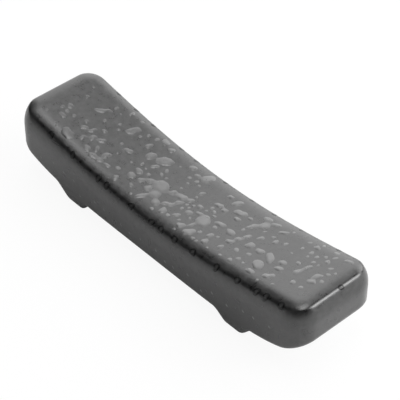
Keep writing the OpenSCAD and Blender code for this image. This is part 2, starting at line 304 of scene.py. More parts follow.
    def marks(self, rim: float) -> np.ndarray:
        """Places along the straight side, from the middle to the corner, where the underside changes.

        Args:
            rim: Height at which the glaze stops on the feet.

        Returns:
            Distances from the middle: 0, toe of the foot, rim, sole, sole, rim, toe, start of the corner.
        """
        half = self.sole_half - self.skin
        sole = self.foot_middle + np.array([-half, half])
        toe = sole + np.array([-self.inner_run, self.outer_run])
        inner = np.linspace(sole[0], toe[0], self.foot_table)
        outer = np.linspace(sole[1], toe[1], self.foot_table)
        rim_in = np.interp(rim, self.underside(inner), inner)
        rim_out = np.interp(rim, self.underside(outer), outer)
        corner = self.half_length - self.corner_radius
        return np.array([0.0, toe[0], rim_in, sole[0], sole[1], rim_out, toe[1], corner])


@dataclass(frozen=True)
class BarGrid:
    """A bar's surface as rings that go round it, closed by a patch on top and a patch underneath.

    Ring point = core rectangle + (corner radius - inset) times the outward direction. Down the top edge,
    inset and fall follow the three arcs of its profile. Down the bottom edge they follow an ellipse that
    ends on the underside. The patches are straight across Y.
    """

    shape: BarShape
    rim: float
    cut_at_rim: bool
    stretch_steps: tuple[int, ...] = (18, 10, 4, 4, 4, 11, 9)
    rim_marks: tuple[int, int] = (2, 5)
    corner_steps: int = 12
    across: int = 20
    edge_steps: int = 20
    least_radius: float = 0.3 * MM
    wall_steps: int = 6

    def half_outline(self) -> tuple[np.ndarray, np.ndarray]:
        """The front half of the outline, from the -X end to the +X end.

        Returns:
            Core points and outward directions.
        """
        shape = self.shape
        counts = np.cumsum((0,) + self.stretch_steps)
        right = np.interp(np.arange(counts[-1] + 1), counts, shape.marks(self.rim))
        side_x = np.concatenate([-right[:0:-1], right])
        turn = np.linspace(0.0, math.pi / 2, self.corner_steps + 1)
        front = np.full(side_x.size, FRONT_ANGLE)
        angle = np.concatenate([math.pi + turn[:-1], front, FRONT_ANGLE + turn[1:]])
        reach = np.full(self.corner_steps, shape.half_length - shape.corner_radius)
        core_x = np.concatenate([-reach, side_x, reach])
        core = np.stack([core_x, np.full_like(core_x, shape.corner_radius - shape.half_width)], axis=-1)
        return core, np.stack([np.cos(angle), np.sin(angle)], axis=-1)

    def outline(self) -> tuple[np.ndarray, np.ndarray]:
        """The whole outline, anticlockwise as seen from above.

        Returns:
            Core points and outward directions.
        """
        core, out = self.half_outline()
        mirror = np.array([1.0, -1.0])
        share = np.linspace(-1.0, 1.0, self.across + 1)[1:-1, None]
        east = np.array([core[-1, 0], 0.0]) + share * np.array([0.0, -core[-1, 1]])
        ones = np.ones_like(share)
        facing = np.concatenate([ones, 0.0 * ones], axis=1)
        loop = np.concatenate([core, east, core[::-1] * mirror, -east])
        return loop, np.concatenate([out, facing, out[::-1] * mirror, -facing])

    def rings(self) -> np.ndarray:
        """Points of every ring.

        Returns:
            The points from the top patch down to the bottom patch, as levels by points by 3.
        """
        shape = self.shape
        core, out = self.outline()
        halves = np.array([shape.half_length, shape.half_width])

        def place(inset: np.ndarray) -> np.ndarray:
            """Plan points at an inset from the outline, whose corners keep a least radius.

            Args:
                inset: The inset at each point of the outline.

            Returns:
                The points, along one more axis than the insets.
            """
            depth = (inset + shape.skin)[..., None]
            radius = np.maximum(shape.corner_radius - depth, self.least_radius)
            return core * (halves - depth - radius) / (halves - shape.corner_radius) + radius * out

        turn = np.linspace(0.0, math.pi / 2, self.edge_steps + 1)[:, None]
        inset, fall = shape.edge_arcs(turn + np.zeros(len(core)))
        top_xy = place(inset)
        top_z = shape.saddle(top_xy[..., 0]) - fall

        wall_x = place(np.zeros(len(core)))[:, 0]
        low = shape.underside(wall_x)
        tall = shape.belly(wall_x) + shape.under_edge - low
        wide = shape.under_edge + (shape.sole_inset - shape.under_edge) * shape.foot_share(wall_x)
        lift = np.clip(self.rim - low, 0.0, None) if self.cut_at_rim else np.zeros_like(low)
        turn = turn / (math.pi / 2) * np.arcsin(1.0 - lift / tall)
        low_xy = place(wide * (1.0 - np.cos(turn)))
        low_x = low_xy[..., 0]
        low_z = shape.underside(low_x)
        tall = shape.belly(low_x) + shape.under_edge - low_z
        low_z = low_z + tall * (1.0 - np.sin(turn))

        share = np.linspace(0.0, 1.0, self.wall_steps + 1)[1:-1, None]
        wall_z = top_z[-1] + share * (low_z[0] - top_z[-1])
        wall_xy = np.broadcast_to(top_xy[-1], wall_z.shape + (2,))
        xy = np.concatenate([top_xy, wall_xy, low_xy])
        return np.concatenate([xy, np.concatenate([top_z, wall_z, low_z])[..., None]], axis=-1)

    def patch_index(self, half: int, ring_start: int, inner_start: int) -> np.ndarray:
        """Vertex numbers of a patch, stations along x by places across y.

        Args:
            half: Points on half of the outline.
            ring_start: Number of the first vertex of the ring round the patch.
            inner_start: Number of the first vertex inside the patch.

        Returns:
            The numbers as a grid, whose border is the ring.
        """
        inside = self.across - 1
        index = np.zeros((half, self.across + 1), dtype=int)
        index[:, 0] = np.arange(half)
        index[-1, 1:-1] = half + np.arange(inside)
        index[:, -1] = half + inside + np.arange(half)[::-1]
        index[0, 1:-1] = 2 * half + inside + np.arange(inside)[::-1]
        index += ring_start
        index[1:-1, 1:-1] = inner_start + np.arange((half - 2) * inside).reshape(half - 2, inside)
        return index

    def foot_cells(self, half: int) -> list[tuple[int, int]]:
        """Where the underside meets the rim of the glaze.

        Args:
            half: Points on half of the outline.

        Returns:
            First and last station of each foot's opening.
        """
        counts = np.cumsum((0,) + self.stretch_steps)
        middle = (half - 1) // 2
        rim_in, rim_out = (int(counts[mark]) for mark in self.rim_marks)
        return [(middle - rim_out, middle - rim_in), (middle + rim_in, middle + rim_out)]

    def surface(self) -> tuple[np.ndarray, np.ndarray, list[np.ndarray]]:
        """The whole surface.

        Returns:
            Points, four-cornered faces, and the border of each foot's opening, none if the feet are closed.
        """
        shape = self.shape
        rings = self.rings()
        levels, around = rings.shape[:2]
        half = (around - 2 * (self.across - 1)) // 2
        share = np.linspace(0.0, 1.0, self.across + 1)[1:-1, None]
        inner = []
        for level in (0, levels - 1):
            front = rings[level, 1 : half - 1, None, :2]
            back = front * np.array([1.0, -1.0])
            inner.append((front + share * (back - front)).reshape(-1, 2))
        floor = self.rim if self.cut_at_rim else 0.0
        top = np.column_stack([inner[0], shape.saddle(inner[0][:, 0])])
        low = np.column_stack([inner[1], np.maximum(shape.underside(inner[1][:, 0]), floor)])
        points = np.concatenate([rings.reshape(-1, 3), top, low])

        walls = ring_faces(np.arange(levels * around).reshape(levels, around))
        above = self.patch_index(half, 0, levels * around)
        below = self.patch_index(half, (levels - 1) * around, levels * around + len(top))
        lid = np.stack(cell_corners(above), axis=-1)
        a, b, c, d = cell_corners(below)
        base = np.stack([a, d, c, b], axis=-1)
        borders: list[np.ndarray] = []
        kept = np.ones(half - 1, dtype=bool)
        if self.cut_at_rim:
            for first, last in self.foot_cells(half):
                kept[first:last] = False
                borders.append(np.concatenate([below[first:last, 0], below[last, :-1],
                                               below[last:first:-1, -1], below[first, :0:-1]]))
        faces = np.concatenate([walls, lid.reshape(-1, 4), base[kept].reshape(-1, 4)])
        return points, faces, borders


class NodeSheet:
    """A node tree that is filled one node at a time."""

    def __init__(self, tree: bpy.types.NodeTree) -> None:
        """Starts on an empty tree."""
        self.tree = tree
        self.tree.nodes.clear()

    def add(self, kind: str, inputs: dict[str | int, object] | None = None,
            **settings: object) -> bpy.types.Node:
        """Adds a node.

        Args:
            kind: Blender's name for the node's type.
            inputs: For each input socket, a value or the output socket that feeds it.
            settings: Properties of the node itself.

        Returns:
            The node.
        """
        node = self.tree.nodes.new(kind)
        for key, value in settings.items():
            setattr(node, key, value)
        for key, value in (inputs or {}).items():
            if isinstance(value, bpy.types.NodeSocket):
                self.tree.links.new(value, node.inputs[key])
            else:
                node.inputs[key].default_value = value
        return node

    def blend(self, share: bpy.types.NodeSocket, low: object, high: object) -> bpy.types.NodeSocket:
        """A colour between two others.

        Args:
            share: How much of the second colour there is, from 0 to 1.
            low: The first colour, or the output socket that gives it.
            high: The second one.

        Returns:
            The mixed colour.
        """
        node = self.add("ShaderNodeMix", {"Factor": share}, data_type="RGBA")
        for name, value in (("A", low), ("B", high)):
            socket = next(s for s in node.inputs if s.name == name and s.type == "RGBA")
            if isinstance(value, bpy.types.NodeSocket):
                self.tree.links.new(value, socket)
            else:
                socket.default_value = value
        return next(s for s in node.outputs if s.type == "RGBA")

    def calculate(self, operation: str, first: object, second: object) -> bpy.types.NodeSocket:
        """The result of a sum or a test on two values or sockets."""
        return self.add("ShaderNodeMath", {0: first, 1: second}, operation=operation).outputs[0]

    def scaled(self, value: bpy.types.NodeSocket, low: float, high: float) -> bpy.types.NodeSocket:
        """A value from 0 to 1 brought to the range from low to high."""
        node = self.add("ShaderNodeMapRange", {"Value": value, "To Min": low, "To Max": high})
        return node.outputs["Result"]


def new_group(name: str, inputs: tuple[str, ...],
              outputs: tuple[str, ...]) -> tuple[NodeSheet, dict[str, bpy.types.NodeSocket]]:
    """Starts a shader node group whose first input is a vector and the others are numbers.

    Args:
        name: The group's name.
        inputs: Names of the number inputs.
        outputs: Names of the number outputs.

    Returns:
        The sheet to fill, and the group's input sockets by name.
    """
    tree = bpy.data.node_groups.new(name, "ShaderNodeTree")
    tree.interface.new_socket("Vector", in_out="INPUT", socket_type="NodeSocketVector")
    for label in inputs:
        tree.interface.new_socket(label, in_out="INPUT", socket_type="NodeSocketFloat")
    for label in outputs:
        tree.interface.new_socket(label, in_out="OUTPUT", socket_type="NodeSocketFloat")
    sheet = NodeSheet(tree)
    source = sheet.add("NodeGroupInput")
    return sheet, {socket.name: socket for socket in source.outputs}


@dataclass(frozen=True)
class FiredSkin:
    """Node group for what every fired surface shows: fine ripples, and slow changes of gloss and tone."""

    ripple_detail: float = 2.0
    ripple_roughness: float = 0.5
    mottle_detail: float = 5.0
    mottle_roughness: float = 0.62
    mottle_low: float = 0.3
    mottle_high: float = 0.7

    def build(self) -> bpy.types.NodeTree:
        """Makes the group: two noises, of which the mottling is spread to the whole range from 0 to 1.

        Returns:
            The group's tree.
        """
        sheet, given = new_group("fired_skin", ("Ripple Scale", "Mottle Scale"), ("Ripple", "Mottle"))
        ripple = sheet.add("ShaderNodeTexNoise", {
            "Vector": given["Vector"], "Scale": given["Ripple Scale"],
            "Detail": self.ripple_detail, "Roughness": self.ripple_roughness})
        mottle = sheet.add("ShaderNodeTexNoise", {
            "Vector": given["Vector"], "Scale": given["Mottle Scale"],
            "Detail": self.mottle_detail, "Roughness": self.mottle_roughness})
        spread = sheet.add("ShaderNodeMapRange", {
            "Value": mottle.outputs["Fac"], "From Min": self.mottle_low, "From Max": self.mottle_high})
        sheet.add("NodeGroupOutput", {"Ripple": ripple.outputs["Fac"], "Mottle": spread.outputs["Result"]})
        return sheet.tree


@dataclass(frozen=True)
class FiredSpecks:
    """Node group for the specks that firing leaves: round dots in a scattered few cells of a pattern."""

    soft_border: float = 0.12

    def build(self) -> bpy.types.NodeTree:
        """Makes the group: a dot round each cell's point, kept where the cell's random red is low enough.

        Returns:
            The group's tree.
        """
        sheet, given = new_group("fired_specks", ("Scale", "Dot", "Share"), ("Specks",))
        cells = sheet.add("ShaderNodeTexVoronoi", {"Vector": given["Vector"], "Scale": given["Scale"]})
        near = sheet.calculate("SUBTRACT", given["Dot"], cells.outputs["Distance"])
        dot = sheet.add("ShaderNodeMapRange", {"Value": near, "From Max": self.soft_border})
        tint = sheet.add("ShaderNodeSeparateColor", {"Color": cells.outputs["Color"]})
        chosen = sheet.calculate("LESS_THAN", tint.outputs["Red"], given["Share"])
        sheet.add("NodeGroupOutput", {"Specks": sheet.calculate("MULTIPLY", dot.outputs["Result"], chosen)})
        return sheet.tree


@dataclass(frozen=True)
class FiredFinish:
    """A fired surface, glaze or bare clay: a nearly even colour with ripples, mottling and a few specks."""

    name: str
    dark: Colour
    light: Colour
    speck: Colour
    rough_low: float
    rough_high: float
    ripple_scale: float
    ripple_depth: float
    mottle_scale: float
    speck_scale: float
    speck_dot: float
    speck_share: float
    ior: float = 1.5
    rough_by: SkinValue = SkinValue.MOTTLE
    reads_tone: bool = False
    tone_spread: tuple[float, float] = (0.85, 1.1)

    def material(self, skin: bpy.types.NodeTree, specks: bpy.types.NodeTree) -> bpy.types.Material:
        """Builds the material.

        Args:
            skin: The group for ripples and mottling.
            specks: The group for specks.

        Returns:
            The material, on Object coordinates and, for the drops, the attribute tone.
        """
        made = bpy.data.materials.new(self.name)
        made.use_nodes = True
        sheet = NodeSheet(made.node_tree)
        place = sheet.add("ShaderNodeTexCoord").outputs["Object"]
        fired = sheet.add("ShaderNodeGroup", {
            "Vector": place, "Ripple Scale": self.ripple_scale,
            "Mottle Scale": self.mottle_scale}, node_tree=skin).outputs
        dots = sheet.add("ShaderNodeGroup", {
            "Vector": place, "Scale": self.speck_scale, "Dot": self.speck_dot,
            "Share": self.speck_share}, node_tree=specks).outputs
        share = fired[SkinValue.MOTTLE.value]
        if self.reads_tone:
            tone = sheet.add("ShaderNodeAttribute", attribute_name="tone").outputs["Fac"]
            share = sheet.calculate("MULTIPLY", sheet.scaled(share, *self.tone_spread), tone)
        body = sheet.blend(share, self.dark + OPAQUE, self.light + OPAQUE)
        bump = sheet.add("ShaderNodeBump", {
            "Height": fired[SkinValue.RIPPLE.value], "Distance": self.ripple_depth})
        shader = sheet.add("ShaderNodeBsdfPrincipled", {
            "Base Color": sheet.blend(dots["Specks"], body, self.speck + OPAQUE),
            "Roughness": sheet.scaled(fired[self.rough_by.value], self.rough_low, self.rough_high),
            "IOR": self.ior,
            "Normal": bump.outputs["Normal"],
        })
        sheet.add("ShaderNodeOutputMaterial", {"Surface": shader.outputs["BSDF"]})
        return made


@dataclass(frozen=True)
class BlackBar:
    """The clay bar and the coat of black glaze over it."""

    shape: BarShape
    coat: float = 0.35 * MM
    rim: float = 0.3 * MM

    def build_clay(self, finish: bpy.types.Material) -> bpy.types.Object:
        """Makes the clay under the coat, closed, with its soles on the table."""
        points, faces, _ = BarGrid(self.shape.under(self.coat), self.rim, cut_at_rim=False).surface()
        return add_piece("clay_core", points, faces.tolist(), finish, "stoneware_body")

    def build_coat(self, finish: bpy.types.Material) -> bpy.types.Object:
        """Makes the coat: its outer surface, its inner one turned inside out, and a rim round each foot.

        Args:
            finish: Material of the black glaze.

        Returns:
            The piece.
        """
        outer, outer_faces, borders = BarGrid(self.shape, self.rim, cut_at_rim=True).surface()
        inner, inner_faces, _ = BarGrid(self.shape.under(self.coat), self.rim, cut_at_rim=True).surface()
        shift = len(outer)
        rims = [np.stack([edge, edge + shift, np.roll(edge, -1) + shift, np.roll(edge, -1)], axis=-1)
                for edge in borders]
        faces = np.concatenate([outer_faces, inner_faces[:, ::-1] + shift, *rims])
        points = np.concatenate([outer, inner])
        return add_piece("glaze_coat", points, faces.tolist(), finish, "black_glaze")


@dataclass(frozen=True)
class DropList:
    """Places and sizes of the drops of one CAD node, read from its solids, one array entry per drop."""

    middle: np.ndarray
    half_long: np.ndarray
    half_wide: np.ndarray
    turn: np.ndarray

    @classmethod
    def read(cls, node: str, carrier: Carrier) -> "DropList":
        """Reads a node's solids: corners that share a triangle get one label, and each label is a drop.

        Args:
            node: The CAD node.
            carrier: The face that carries the drops, which sets the plane that they are measured in.

        Returns:
            The drops, with the turn of each from the spread of its corners.
        """
        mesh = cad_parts[node].data
        corners = np.zeros(3 * len(mesh.vertices))
        mesh.vertices.foreach_get("co", corners)
        used = np.zeros(len(mesh.loops), dtype=np.int32)
        mesh.loops.foreach_get("vertex_index", used)
        keys = np.round(corners.reshape(-1, 3) / SAME_CORNER).astype(np.int64)
        _, first, same = np.unique(keys, axis=0, return_index=True, return_inverse=True)
        points = corners.reshape(-1, 3)[first]
        triangles = same.ravel()[used].reshape(-1, 3)
        label = np.arange(len(points))
        while True:
            lowest = label.copy()
            np.minimum.at(lowest, triangles.ravel(), np.repeat(label[triangles].min(axis=1), 3))
            if np.array_equal(lowest, label):
                break
            label = lowest
        drop = np.unique(label, return_inverse=True)[1]
        count = np.bincount(drop)
        middle = np.stack([np.bincount(drop, points[:, axis]) / count for axis in range(3)], axis=-1)
        off = points - middle[drop]
        u, v = off[:, 0], off[:, 1] if carrier is Carrier.SADDLE else off[:, 2]
        stretch = np.bincount(drop, u * u) - np.bincount(drop, v * v)
        turn = 0.5 * np.arctan2(2.0 * np.bincount(drop, u * v), stretch)
        along = np.abs(u * np.cos(turn)[drop] + v * np.sin(turn)[drop])
        aside = np.abs(v * np.cos(turn)[drop] - u * np.sin(turn)[drop])
        half_long, half_wide = np.zeros(len(count)), np.zeros(len(count))
        np.maximum.at(half_long, drop, along)
        np.maximum.at(half_wide, drop, aside)
        return cls(middle, half_long, half_wide, turn)


@dataclass(frozen=True)
class DomeSet:
    """One set of separate small drops: its piece, its CAD node, and how steep and wide its domes are.

    Drops on the edge are round, hang over it, and are dark but for their middles, whose lighter grey is partly
    glaze and partly a painted highlight.
    """

    name: str
    node: str
    carrier: Carrier
    slope: float
    swell: float
    on_edge: bool = False


@dataclass(frozen=True)
class GreyDrops:
    """The drops of grey glaze on the black coat."""

    shape: BarShape
    seed: int = 23
    field_step: float = 0.11 * MM
    field_half: tuple[float, float] = (38.4 * MM, 9.2 * MM)
    blotch_height: float = 0.085 * MM
    dome_reach: float = 0.85 * MM
    skirt: float = 0.25
    merge: float = 0.26 * MM
    sink: float = 0.08 * MM
    warp: float = 0.12 * MM
    wave_pitch: tuple[float, float] = (1.4 * MM, 4.2 * MM)
    wave_count: int = 9
    swell: float = 1.15
    rim_tone: float = 0.55
    bead_focus: float = 3.0
    sectors: int = 20
    lobes: tuple[float, float] = (0.10, 0.07)
    height_spread: tuple[float, float] = (0.75, 1.2)
    tone_spread: tuple[float, float] = (0.8, 1.15)
    ring_shares: tuple[float, ...] = (0.25, 0.48, 0.68, 0.84, 0.94, 1.0, 1.06, 1.06)
    tone_from: float = -34.0 * MM
    tone_run: float = 42.0 * MM
    tone_least: float = 0.35
    height_least: float = 0.85
    edge_least: float = 0.4
    edge_run: float = 3.4 * MM

    def fullness(self, x: np.ndarray, least: float) -> np.ndarray:
        """A share that is least at the -X end, where the glaze lies thin, and 1 from the middle on."""
        return least + (1.0 - least) * smooth_step((x - self.tone_from) / self.tone_run)

    def edge_share(self, x: np.ndarray, y: np.ndarray) -> np.ndarray:
        """A share that is least at the outline, where the glaze spreads thin, and 1 on the saddle."""
        step = smooth_step(self.shape.inside(x, y) / self.edge_run)
        return self.edge_least + (1.0 - self.edge_least) * step

    def domed_tone(self, share: np.ndarray) -> np.ndarray:
        """How grey a drop is at a share of its height: thin glaze near its border lets the black through."""
        return self.rim_tone + (1.0 - self.rim_tone) * np.clip(share, 0.0, 1.0)

    def bead_grey_and_glint(self, share: np.ndarray) -> np.ndarray:
        """How grey a bead is at a share of its height: dark but for its middle, by a power of the share. The
        lighter middle is partly grey glaze and partly a painted highlight.
        """
        return np.clip(share, 0.0, 1.0) ** self.bead_focus

    def waves(self, x: np.ndarray, y: np.ndarray, start: int) -> np.ndarray:
        """A slow random field: sines of random direction, length and phase, over the root of their number.

        Args:
            x: Places along the bar.
            y: Places across it.
            start: Added to the seed.

        Returns:
            The field at those places.
        """
        draw = np.random.default_rng(self.seed + start)
        turn = draw.uniform(0.0, 2.0 * math.pi, self.wave_count)
        pitch = draw.uniform(*self.wave_pitch, self.wave_count)
        phase = draw.uniform(0.0, 2.0 * math.pi, self.wave_count)
        along = x[..., None] * np.cos(turn) + y[..., None] * np.sin(turn)
        waves = np.sin(2.0 * math.pi * along / pitch + phase)
        return waves.sum(axis=-1) / math.sqrt(self.wave_count)

    def build_blotches(self, finish: bpy.types.Material) -> bpy.types.Object:
        """Makes the large drops as one height over the saddle, so that neighbours run together.

        The depth inside the edge is the soft maximum over all drops of (1 - r) times the drop's mean radius,
        r being the radius in the drop's own ellipse, on a plan bent by slow waves. With s as the depth over
        the reach of a dome, at most 1, the height is the full height times s (2 - s). Outside the edge s
        goes on below 0 for a short skirt, where the surface dips under the coat and the patch is closed.

        Args:
            finish: Material of the grey glaze.

        Returns:
            The piece.
        """
        drops = DropList.read("saddle_blotches", Carrier.SADDLE)
        places = [np.linspace(-half, half, int(2 * half / self.field_step) + 1) for half in self.field_half]
        x, y = np.meshgrid(*places, indexing="ij")
        bent_x = x + self.warp * self.waves(x, y, start=0)
        bent_y = y + self.warp * self.waves(x, y, start=1)
        total = np.zeros_like(x)
        for row in range(len(drops.turn)):
            u, v = bent_x - drops.middle[row, 0], bent_y - drops.middle[row, 1]
            cos, sin = math.cos(drops.turn[row]), math.sin(drops.turn[row])
            half_long, half_wide = self.swell * drops.half_long[row], self.swell * drops.half_wide[row]
            radius = np.hypot((u * cos + v * sin) / half_long, (v * cos - u * sin) / half_wide)
            within = (1.0 - radius) * math.sqrt(half_long * half_wide)
            total += np.exp(np.clip(within / self.merge, -EXPONENT_CAP, EXPONENT_CAP))
        depth = self.merge * np.log(total)
        share = np.clip(depth / self.dome_reach, -self.skirt, 1.0)
        full = self.blotch_height * self.fullness(x, self.height_least) * self.edge_share(x, y)
        height = full * share * (2.0 - share)

        base = np.stack([x, y, self.shape.top(x, y)], axis=-1)
        normal = self.shape.top_normal(x, y)
        upper = base + height[..., None] * normal
        lower = base - self.sink * normal
        wet = share > -self.skirt
        cells = self.fill_corners(np.logical_or.reduce(cell_corners(wet)))
        points, faces, used = self.close_patch(upper, lower, cells)
        piece = add_piece("grey_blotches", points, faces, finish, "saddle_blotches")
        tone = self.fullness(x, self.tone_least) * self.domed_tone(share)
        add_tone(piece, np.tile(tone.ravel(), 2)[used])
        return piece

    @staticmethod
    def fill_corners(cells: np.ndarray) -> np.ndarray:
        """Fills up around cells that touch only at a corner, so that every edge of the patch has two faces.

        Args:
            cells: True for each cell that is kept.

        Returns:
            The cells with the added ones.
        """
        filled = cells.copy()
        blocks = cell_corners(filled)
        while True:
            a, b, c, d = blocks
            pinched = (a == c) & (b == d) & (a != b)
            if not pinched.any():
                return filled
            for block in blocks:
                block |= pinched

    @staticmethod
    def close_patch(upper: np.ndarray, lower: np.ndarray,
                    cells: np.ndarray) -> tuple[np.ndarray, list[list[int]], np.ndarray]:
        """Closes the chosen cells of a grid between an upper and a lower surface.

        Args:
            upper: Points of the upper surface, as a grid.
            lower: Points of the lower surface, on the same grid.
            cells: True for each cell that is kept.

        Returns:
            The points in use, the faces, and the number of each point in the two grids one after the other.
        """
        number = np.arange(cells.size + sum(cells.shape) + 1).reshape(np.array(cells.shape) + 1)
        shift = number.size
        corners = cell_corners(number)
        lid = np.stack(corners, axis=-1)[cells]
        parts = [lid, lid[:, ::-1] + shift]
        padded = np.pad(cells, 1)
        neighbours = (padded[1:-1, :-2], padded[2:, 1:-1], padded[1:-1, 2:], padded[:-2, 1:-1])
        for other, start, stop in zip(neighbours, corners, corners[1:] + corners[:1]):
            edge = cells & ~other
            first, last = start[edge], stop[edge]
            parts.append(np.stack([first, first + shift, last + shift, last], axis=-1))
        faces = np.concatenate(parts)
        used, renumbered = np.unique(faces, return_inverse=True)
        points = np.concatenate([upper.reshape(-1, 3), lower.reshape(-1, 3)])[used]
        return points, renumbered.reshape(faces.shape).tolist(), used

    def build_domes(self, domes: DomeSet, finish: bpy.types.Material) -> bpy.types.Object:
        """Makes separate small drops as domes on a grid of rings by sectors, each closed under the coat.

        A ring's radius wanders round the drop as two sines of 2 and 3 times the angle. The height over the
        coat is the full height times 1 - s squared, s being the ring's share of the radius.

        Args:
            domes: The set, whose slope is the height of a middling dome as a share of its half width.
            finish: Material of the grey glaze.

        Returns:
            The piece.
        """
        drops = DropList.read(domes.node, domes.carrier)
        count = len(drops.turn)
        draw = np.random.default_rng(self.seed + count)
        angle = np.linspace(0.0, 2.0 * math.pi, self.sectors, endpoint=False)
        phase = draw.uniform(0.0, 2.0 * math.pi, (2, count, 1, 1))
        twofold = self.lobes[0] * np.sin(2.0 * angle + phase[0])
        threefold = self.lobes[1] * np.sin(3.0 * angle + phase[1])
        wander = 1.0 + twofold + threefold
        share = np.array(self.ring_shares)[None, :, None]
        along = share * wander * np.cos(angle) * domes.swell * drops.half_long[:, None, None]
        half_aside = drops.half_long if domes.on_edge else drops.half_wide
        aside = share * wander * np.sin(angle) * domes.swell * half_aside[:, None, None]
        cos, sin = np.cos(drops.turn)[:, None, None], np.sin(drops.turn)[:, None, None]
        u, v = along * cos - aside * sin, along * sin + aside * cos
        spread = draw.uniform(*self.height_spread, (count, 1, 1))
        tall = domes.slope * drops.half_wide[:, None, None] * spread
        tall = tall * self.fullness(drops.middle[:, :1, None], self.height_least)
        lift = tall * (1.0 - share**2) + 0.0 * u
        lift[:, -1, :] = -self.sink
        pole = np.zeros((count, 1))
        u = np.concatenate([pole, u.reshape(count, -1), pole], axis=1)
        v = np.concatenate([pole, v.reshape(count, -1), pole], axis=1)
        lift = np.concatenate([tall[:, :, 0], lift.reshape(count, -1), pole - self.sink], axis=1)
        base, normal = self.seat(domes, drops, u, v)
        points = base + lift[..., None] * normal
        faces = self.dome_faces(count, outward=domes.carrier is Carrier.SADDLE)
        piece = add_piece(domes.name, points.reshape(-1, 3), faces, finish, domes.node)
        fresh = draw.uniform(*self.tone_spread, (count, 1))
        # On edge beads the tone puts a lighter grey at each bead's middle, partly glaze and partly a painted
        # highlight.
        shade = self.bead_grey_and_glint if domes.on_edge else self.domed_tone
        add_tone(piece, self.fullness(base[..., 0], self.tone_least) * fresh * shade(lift / tall[:, :, 0]))
        return piece

    def seat(self, domes: DomeSet, drops: DropList, u: np.ndarray,
             v: np.ndarray) -> tuple[np.ndarray, np.ndarray]:
        """Sets the points of flat drops on the face that carries them.

        Args:
            domes: The set that the drops are of.
            drops: Their places.
            u: Places along the bar from each drop's middle, drops by points.
            v: Places across it, or up it on the walls.

        Returns:
            The points on the face, and its outward direction at each.
        """
        if domes.carrier is Carrier.SADDLE:
            x, y = drops.middle[:, :1] + u, drops.middle[:, 1:2] + v
            if domes.on_edge:
                x, y = self.hang(x, y, drops.middle)
            return np.stack([x, y, self.shape.top(x, y)], axis=-1), self.shape.top_normal(x, y)
        side = np.sign(drops.middle[:, 1:2])
        x = drops.middle[:, :1] + side * u
        flat = np.zeros_like(x)
        base = np.stack([x, flat + side * self.shape.half_width, drops.middle[:, 2:] + v], axis=-1)
        return base, np.stack([flat, flat + side, flat], axis=-1)

    def hang(self, x: np.ndarray, y: np.ndarray, middle: np.ndarray) -> tuple[np.ndarray, np.ndarray]:
        """Bends flat drops over the edge: each point keeps its way from the drop's middle along the profile.

        Args:
            x: Places along the bar, drops by points.
            y: Places across it.
            middle: The middle of each drop.

        Returns:
            The new places along and across the bar.
        """
        inset, way = self.shape.edge_way()
        along, across = middle[:, :1], middle[:, 1:2]
        on_end = self.shape.half_length - np.abs(along) < self.shape.half_width - np.abs(across)
        flat = self.shape.inside(x, y)
        start = self.shape.inside(along, across)
        down = np.interp(start, inset[::-1], way[::-1]) + start - flat
        shift = flat - np.interp(down, way, inset)
        past_end = shift * np.where(on_end, np.sign(along), 0.0)
        past_side = shift * np.where(on_end, 0.0, np.sign(across))
        return x + past_end, y + past_side

    def dome_faces(self, count: int, outward: bool) -> list[list[int]]:
        """Faces of many domes: a fan at the top pole, bands between rings, and a fan at the pole underneath.

        Args:
            count: Number of domes.
            outward: True where angles run anticlockwise as seen from outside.

        Returns:
            Corners of each face.
        """
        rings = len(self.ring_shares)
        each = rings * self.sectors + 2
        ring = 1 + np.arange(rings * self.sectors).reshape(rings, self.sectors)
        after = np.roll(ring, -1, axis=1)
        bands = ring_faces(ring)
        top = np.stack([ring[0], after[0], 0 * ring[0]], axis=-1)
        low = np.stack([after[-1], ring[-1], 0 * ring[-1] + each - 1], axis=-1)
        fans = np.concatenate([top, low])
        if not outward:
            bands, fans = bands[:, ::-1], fans[:, ::-1]
        start = each * np.arange(count)[:, None, None]
        return (start + bands).reshape(-1, 4).tolist() + (start + fans).reshape(-1, 3).tolist()


@dataclass(frozen=True)
class Softbox:
    """A flat rectangular lamp that faces the object, placed by its direction from the object's middle."""

    name: str
    azimuth: float
    elevation: float
    distance: float
    wide: float
    high: float
    brightness: float
    roll: float = 0.0

    def build(self) -> bpy.types.Object:
        """Makes the lamp, whose power gives its face the stated brightness.

        Returns:
            The lamp.
        """
        lamp = bpy.data.lights.new(self.name, "AREA")
        lamp.shape = "RECTANGLE"
        lamp.size = self.wide
        lamp.size_y = self.high
        lamp.energy = self.brightness * math.pi * self.wide * self.high
        turn, lift = math.radians(self.azimuth), math.radians(self.elevation)
        towards = Vector((math.cos(turn) * math.cos(lift), math.sin(turn) * math.cos(lift), math.sin(lift)))
        item = bpy.data.objects.new(self.name, lamp)
        item.location = towards * self.distance
        roll = Quaternion((0.0, 0.0, 1.0), math.radians(self.roll))
        item.rotation_euler = (towards.to_track_quat("Z", "Y") @ roll).to_euler()
        bpy.context.scene.collection.objects.link(item)
        return item


